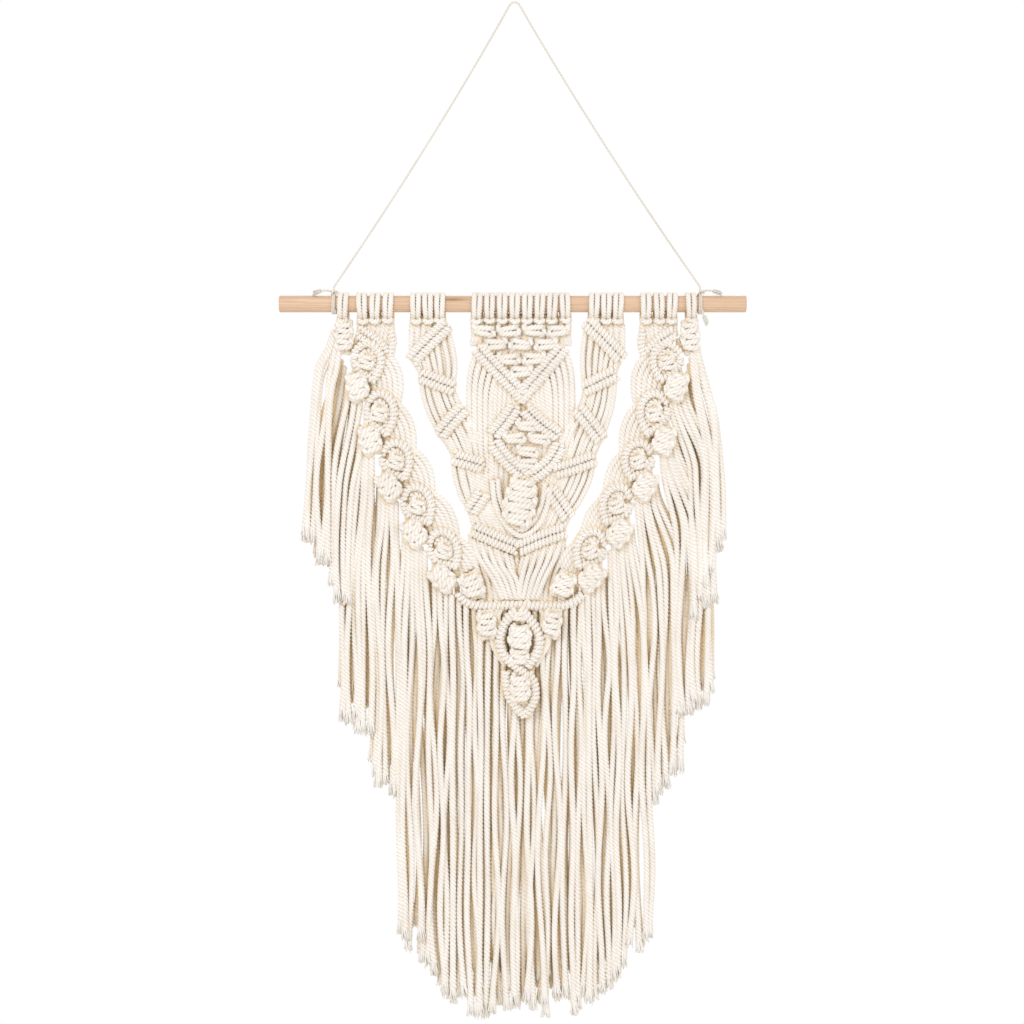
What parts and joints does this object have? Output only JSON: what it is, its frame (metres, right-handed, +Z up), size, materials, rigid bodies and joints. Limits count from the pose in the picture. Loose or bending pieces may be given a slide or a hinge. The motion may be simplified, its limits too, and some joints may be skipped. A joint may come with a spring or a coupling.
{
  "type": "macrame wall hanging",
  "caption": "Knotted cotton wall hanging on a wooden dowel, with a hanging cord, square-knot panel, bobbled wings, medallion and stepped fringe.",
  "frame": {"origin": "where the hanging cord rests on its nail, at the top of the cord's loop", "axes": "+X along the dowel to the viewer's right, -Y out of the wall towards the viewer, +Z up"},
  "size_m": [0.35, 0.0261, 0.7541],
  "materials": {
    "cotton": "natural twisted cotton cord, matt, slightly fuzzy",
    "wood": "plain sanded light wood, unvarnished",
    "twine": "thin two-ply natural twine"
  },
  "bodies": {
    "root": {"dowel": "wood", "hanging_cord": "twine", "hanging_tie_left": "twine", "hanging_tie_right": "twine"},
    "panel": {"bobble_left_1": "cotton", "bobble_left_2": "cotton", "bobble_left_3": "cotton", "bobble_left_4": "cotton", "bobble_left_5": "cotton", "bobble_right_1": "cotton", "bobble_right_2": "cotton", "bobble_right_3": "cotton", "bobble_right_4": "cotton", "bobble_right_5": "cotton", "centre_diamond": "cotton", "centre_panel": "cotton", "centre_strands_left": "cotton", "centre_strands_right": "cotton", "centre_vee_rows": "cotton", "collar_row": "cotton", "inner_band_left": "cotton", "inner_band_right": "cotton", "larks_head_01": "cotton", "larks_head_02": "cotton", "larks_head_03": "cotton", "larks_head_04": "cotton", "larks_head_05": "cotton", "larks_head_06": "cotton", "larks_head_07": "cotton", "larks_head_08": "cotton", "larks_head_09": "cotton", "larks_head_10": "cotton", "larks_head_11": "cotton", "larks_head_12": "cotton", "larks_head_13": "cotton", "larks_head_14": "cotton", "larks_head_15": "cotton", "larks_head_16": "cotton", "larks_head_17": "cotton", "larks_head_18": "cotton", "larks_head_19": "cotton", "larks_head_20": "cotton", "larks_head_21": "cotton", "larks_head_22": "cotton", "lower_vee": "cotton", "wing_left": "cotton", "wing_right": "cotton"},
    "skirt": {"fringe_skirt_centre": "cotton", "fringe_skirt_left": "cotton", "fringe_skirt_right": "cotton", "medallion": "cotton", "medallion_berry": "cotton", "medallion_pendant": "cotton"},
    "fringe_left_outer": {"fringe_left_outer": "cotton"},
    "fringe_left_middle": {"fringe_left_middle": "cotton"},
    "fringe_left_inner": {"fringe_left_inner": "cotton"},
    "fringe_right_outer": {"fringe_right_outer": "cotton"},
    "fringe_right_middle": {"fringe_right_middle": "cotton"},
    "fringe_right_inner": {"fringe_right_inner": "cotton"}
  },
  "joints": [
    {"name": "panel_swing", "type": "hinge", "parent": "root", "child": "panel", "pos_m": [0, 0, -0.2263], "axis": [-1, 0, 0], "range_deg": [0, 60]},
    {"name": "skirt_swing", "type": "hinge", "parent": "panel", "child": "skirt", "pos_m": [0, 0, -0.4588], "axis": [-1, 0, 0], "range_deg": [0, 50]},
    {"name": "fringe_left_outer_swing", "type": "hinge", "parent": "panel", "child": "fringe_left_outer", "pos_m": [0, 0, -0.302], "axis": [-1, 0, 0], "range_deg": [0, 50]},
    {"name": "fringe_left_middle_swing", "type": "hinge", "parent": "panel", "child": "fringe_left_middle", "pos_m": [0, 0, -0.3448], "axis": [-1, 0, 0], "range_deg": [0, 50]},
    {"name": "fringe_left_inner_swing", "type": "hinge", "parent": "panel", "child": "fringe_left_inner", "pos_m": [0, 0, -0.3823], "axis": [-1, 0, 0], "range_deg": [0, 50]},
    {"name": "fringe_right_outer_swing", "type": "hinge", "parent": "panel", "child": "fringe_right_outer", "pos_m": [0, 0, -0.302], "axis": [-1, 0, 0], "range_deg": [0, 50]},
    {"name": "fringe_right_middle_swing", "type": "hinge", "parent": "panel", "child": "fringe_right_middle", "pos_m": [0, 0, -0.3448], "axis": [-1, 0, 0], "range_deg": [0, 50]},
    {"name": "fringe_right_inner_swing", "type": "hinge", "parent": "panel", "child": "fringe_right_inner", "pos_m": [0, 0, -0.3823], "axis": [-1, 0, 0], "range_deg": [0, 50]}
  ]
}
